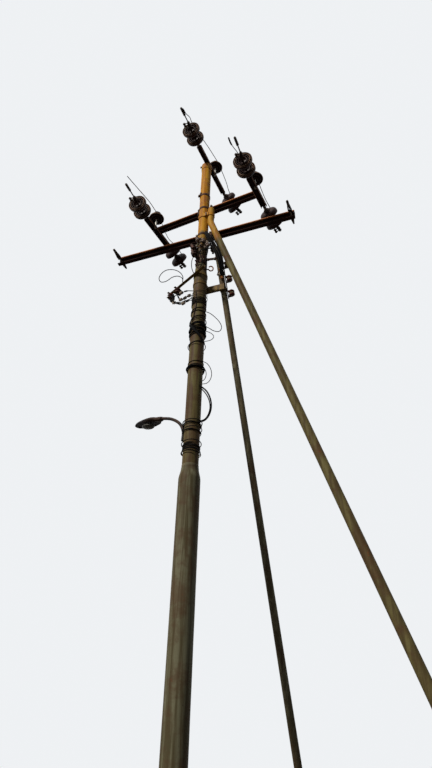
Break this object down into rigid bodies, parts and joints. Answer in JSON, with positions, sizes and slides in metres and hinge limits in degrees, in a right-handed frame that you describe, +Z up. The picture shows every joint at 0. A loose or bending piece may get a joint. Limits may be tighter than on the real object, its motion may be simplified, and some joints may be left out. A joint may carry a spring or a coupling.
{
  "type": "steel tubular line pole",
  "caption": "Stepped steel tubular overhead line pole with two strut tubes, channel crossarms, disc strain strings, pin insulators, low-voltage bobbins and a street lamp.",
  "frame": {"origin": "centre of the pole's lower tube at ground level", "axes": "+X along the lower crossarm towards the right strut, +Y along the line towards the back strut, +Z up"},
  "size_m": [3.9766, 2.8826, 9.4986],
  "materials": {
    "weathered_pole": "weathered brown-olive paint with rust",
    "ochre_paint": "dull ochre paint with rust patches",
    "strut_steel": "weathered olive-brown paint with rust",
    "pale_band": "dull pale paint",
    "rusted_channel": "rough rusted steel",
    "dark_iron": "dark weathered",
    "galvanised": "dull galvanised",
    "brown_glaze": "glazed, dusty",
    "bare_wire": "dull weathered",
    "iron_wire": "dull weathered",
    "black_cable": "weathered black",
    "lamp_metal": "dull grey paint",
    "lamp_glass": "dusty clear"
  },
  "bodies": {
    "root": {"pole_lower": "weathered_pole", "pole_middle": "weathered_pole", "pole_upper": "ochre_paint", "pale_band": "pale_band", "dark_band": "dark_iron", "right_strut": "strut_steel", "back_strut": "strut_steel", "right_strut_clamp": "ochre_paint", "back_strut_bracket": "strut_steel", "back_strut_plate": "dark_iron", "upper_crossarm": "rusted_channel", "lower_crossarm": "rusted_channel", "upper_arm_clamp": "dark_iron", "lower_arm_clamp": "dark_iron", "top_cap": "dark_iron", "top_member": "rusted_channel", "right_member": "rusted_channel", "left_member": "rusted_channel", "top_front_discs": "brown_glaze", "top_back_discs": "brown_glaze", "right_front_discs": "brown_glaze", "right_back_discs": "brown_glaze", "left_front_discs": "brown_glaze", "left_back_discs": "brown_glaze", "top_front_fittings": "dark_iron", "top_back_fittings": "dark_iron", "right_front_fittings": "dark_iron", "right_back_fittings": "dark_iron", "left_front_fittings": "dark_iron", "left_back_fittings": "dark_iron", "top_pin_insulator": "brown_glaze", "right_pin_insulator": "brown_glaze", "left_pin_insulator": "brown_glaze", "top_pin": "galvanised", "right_pin": "galvanised", "left_pin": "galvanised", "top_jumper": "bare_wire", "right_jumper": "bare_wire", "left_jumper": "bare_wire", "left_guard_eye": "dark_iron", "right_guard_eye": "dark_iron", "right_rack": "dark_iron", "right_rack_bobbins": "brown_glaze", "service_bar": "dark_iron", "service_bobbins": "brown_glaze", "lamp_arm": "lamp_metal", "lamp_head": "lamp_metal", "lamp_lens": "lamp_glass", "upper_wire_turns": "iron_wire", "lower_wire_turns": "iron_wire", "cable_wraps": "black_cable"}
  },
  "joints": []
}
